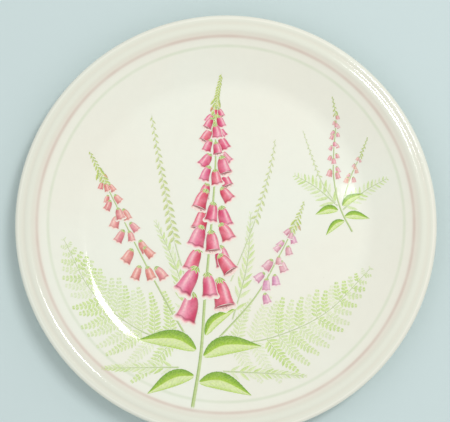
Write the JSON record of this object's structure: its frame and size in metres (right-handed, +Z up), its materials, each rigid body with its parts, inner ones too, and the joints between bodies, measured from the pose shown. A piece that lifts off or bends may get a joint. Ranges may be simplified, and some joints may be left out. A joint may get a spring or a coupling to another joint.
{
  "type": "coupe dinner plate",
  "caption": "Round coupe dinner plate in glazed ivory earthenware with a gently sloping wall, a rim of two fine beads and a low foot ring.",
  "frame": {"origin": "centre of the circle on which the foot ring stands", "axes": "+Z up along the plate's axis of revolution, out of the eating surface; +Y towards the top of the printed decoration, +X to its right"},
  "size_m": [0.26, 0.26, 0.0224],
  "materials": {
    "glaze": "glossy transparent glaze over an ivory body, with the printed decoration under or in the glaze"
  },
  "bodies": {
    "root": {"plate": "glaze"}
  },
  "joints": []
}
